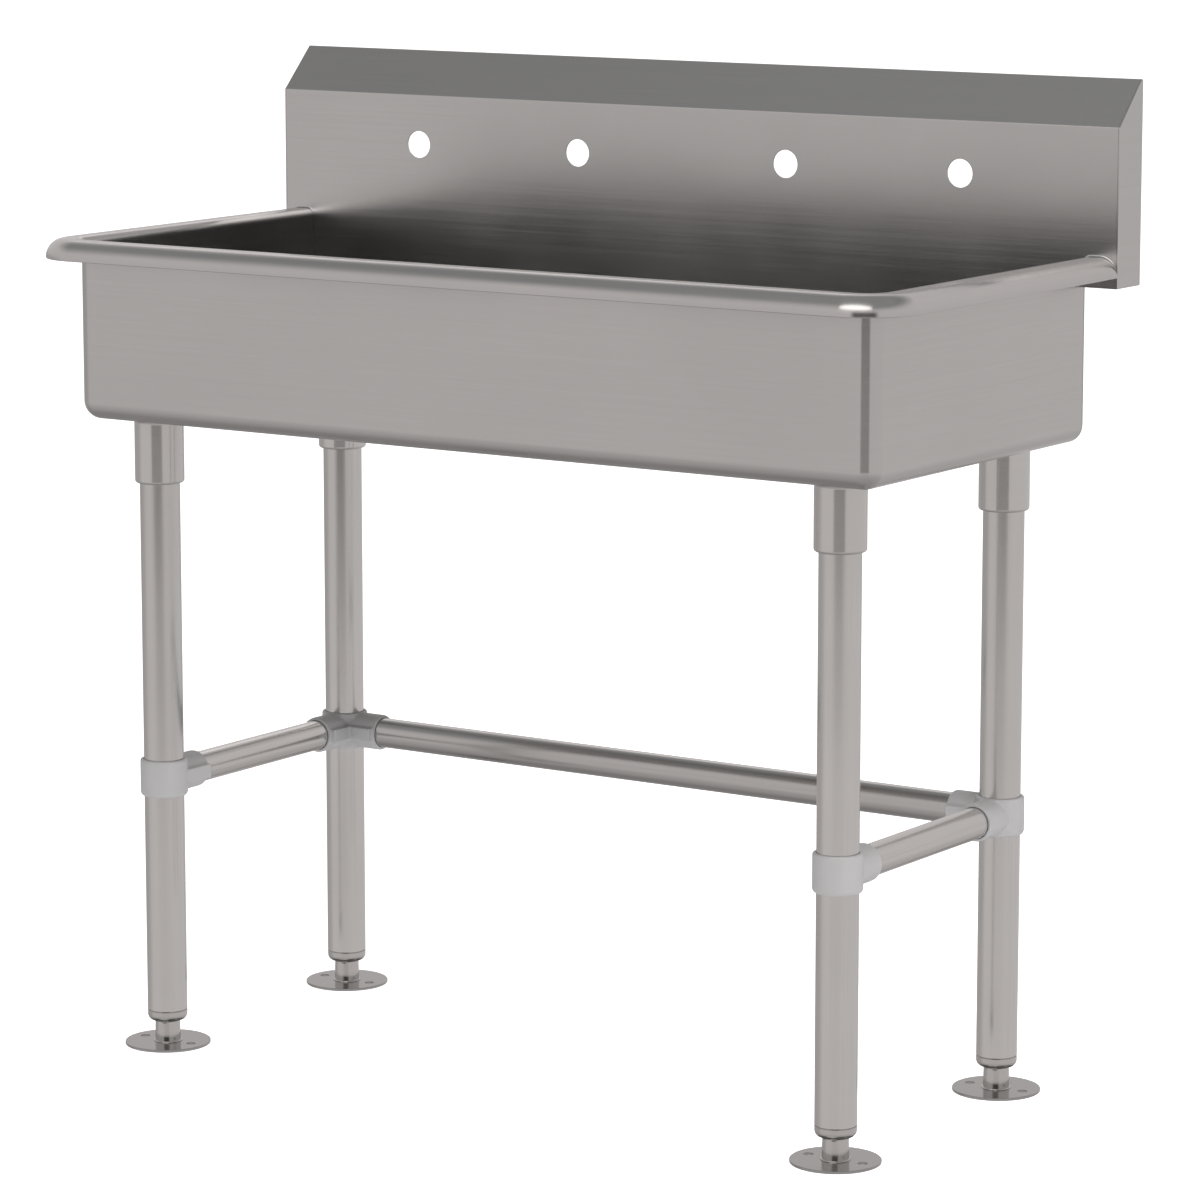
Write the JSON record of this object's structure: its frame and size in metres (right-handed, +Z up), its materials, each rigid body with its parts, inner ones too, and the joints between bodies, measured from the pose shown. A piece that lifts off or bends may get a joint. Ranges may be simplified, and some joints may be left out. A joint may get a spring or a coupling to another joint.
{
  "type": "trough sink",
  "caption": "Free-standing trough sink: wide bowl with rolled rim, tall backsplash with faucet holes, tubular legs with side and rear rails, screw feet on floor plates.",
  "frame": {"origin": "on the floor, below the middle of the overall outline, feet screwed fully in", "axes": "+X to the right as seen from the front, +Y back to the wall, +Z up; the front lip faces -Y"},
  "size_m": [1.016, 0.489, 1.015],
  "materials": {
    "sheet_steel": "fine satin sheet",
    "socket_steel": "satin",
    "tube_steel": "polished satin tube",
    "cast_fitting": "satin cast",
    "foot_metal": "satin cast",
    "plate_steel": "satin",
    "screw_steel": "dark oxide",
    "drain_steel": "polished",
    "gasket_rubber": "matt",
    "locknut_brass": "plain"
  },
  "bodies": {
    "frame": {"sink_bowl": "sheet_steel", "backsplash_panel": "sheet_steel", "splash_end_left": "sheet_steel", "splash_end_right": "sheet_steel", "leg_socket_fl": "socket_steel", "leg_socket_fr": "socket_steel", "leg_socket_rl": "socket_steel", "leg_socket_rr": "socket_steel", "leg_tube_fl": "tube_steel", "leg_tube_fr": "tube_steel", "leg_tube_rl": "tube_steel", "leg_tube_rr": "tube_steel", "socket_set_screws": "screw_steel", "rail_tee_left": "cast_fitting", "rail_tee_right": "cast_fitting", "rail_corner_left": "cast_fitting", "rail_corner_right": "cast_fitting", "fitting_set_screws": "screw_steel", "side_rail_left": "tube_steel", "side_rail_right": "tube_steel", "rear_rail": "tube_steel", "foot_insert_fl": "foot_metal", "foot_insert_fr": "foot_metal", "foot_insert_rl": "foot_metal", "foot_insert_rr": "foot_metal", "drain_body": "drain_steel", "drain_gasket": "gasket_rubber", "drain_locknut": "locknut_brass"},
    "plate_front_left": {"foot_plate_fl": "plate_steel"},
    "stem_front_left": {"foot_stem_fl": "foot_metal"},
    "plate_front_right": {"foot_plate_fr": "plate_steel"},
    "stem_front_right": {"foot_stem_fr": "foot_metal"},
    "plate_rear_left": {"foot_plate_rl": "plate_steel"},
    "stem_rear_left": {"foot_stem_rl": "foot_metal"},
    "plate_rear_right": {"foot_plate_rr": "plate_steel"},
    "stem_rear_right": {"foot_stem_rr": "foot_metal"},
    "strainer": {"drain_strainer": "drain_steel"}
  },
  "joints": [
    {"name": "foot_lift_fl", "type": "slide", "parent": "frame", "child": "plate_front_left", "axis": [0, 0, -1], "range_m": [0, 0.0254]},
    {"name": "foot_turn_fl", "type": "hinge", "parent": "plate_front_left", "child": "stem_front_left", "pos_m": [-0.4064, -0.15565, 0], "axis": [0, 0, -1], "range_deg": [0, 3600]},
    {"name": "foot_lift_fr", "type": "slide", "parent": "frame", "child": "plate_front_right", "axis": [0, 0, -1], "range_m": [0, 0.0254]},
    {"name": "foot_turn_fr", "type": "hinge", "parent": "plate_front_right", "child": "stem_front_right", "pos_m": [0.4064, -0.15565, 0], "axis": [0, 0, -1], "range_deg": [0, 3600]},
    {"name": "foot_lift_rl", "type": "slide", "parent": "frame", "child": "plate_rear_left", "axis": [0, 0, -1], "range_m": [0, 0.0254]},
    {"name": "foot_turn_rl", "type": "hinge", "parent": "plate_rear_left", "child": "stem_rear_left", "pos_m": [-0.4064, 0.15865, 0], "axis": [0, 0, -1], "range_deg": [0, 3600]},
    {"name": "foot_lift_rr", "type": "slide", "parent": "frame", "child": "plate_rear_right", "axis": [0, 0, -1], "range_m": [0, 0.0254]},
    {"name": "foot_turn_rr", "type": "hinge", "parent": "plate_rear_right", "child": "stem_rear_right", "pos_m": [0.4064, 0.15865, 0], "axis": [0, 0, -1], "range_deg": [0, 3600]},
    {"name": "strainer_lift", "type": "slide", "parent": "frame", "child": "strainer", "axis": [0, 0, 1], "range_m": [0, 0.03]}
  ],
  "couplings": [
    {"joint": "foot_turn_fl", "follows": "foot_lift_fl", "rad_per_m": 2473.7},
    {"joint": "foot_turn_fr", "follows": "foot_lift_fr", "rad_per_m": 2473.7},
    {"joint": "foot_turn_rl", "follows": "foot_lift_rl", "rad_per_m": 2473.7},
    {"joint": "foot_turn_rr", "follows": "foot_lift_rr", "rad_per_m": 2473.7}
  ]
}
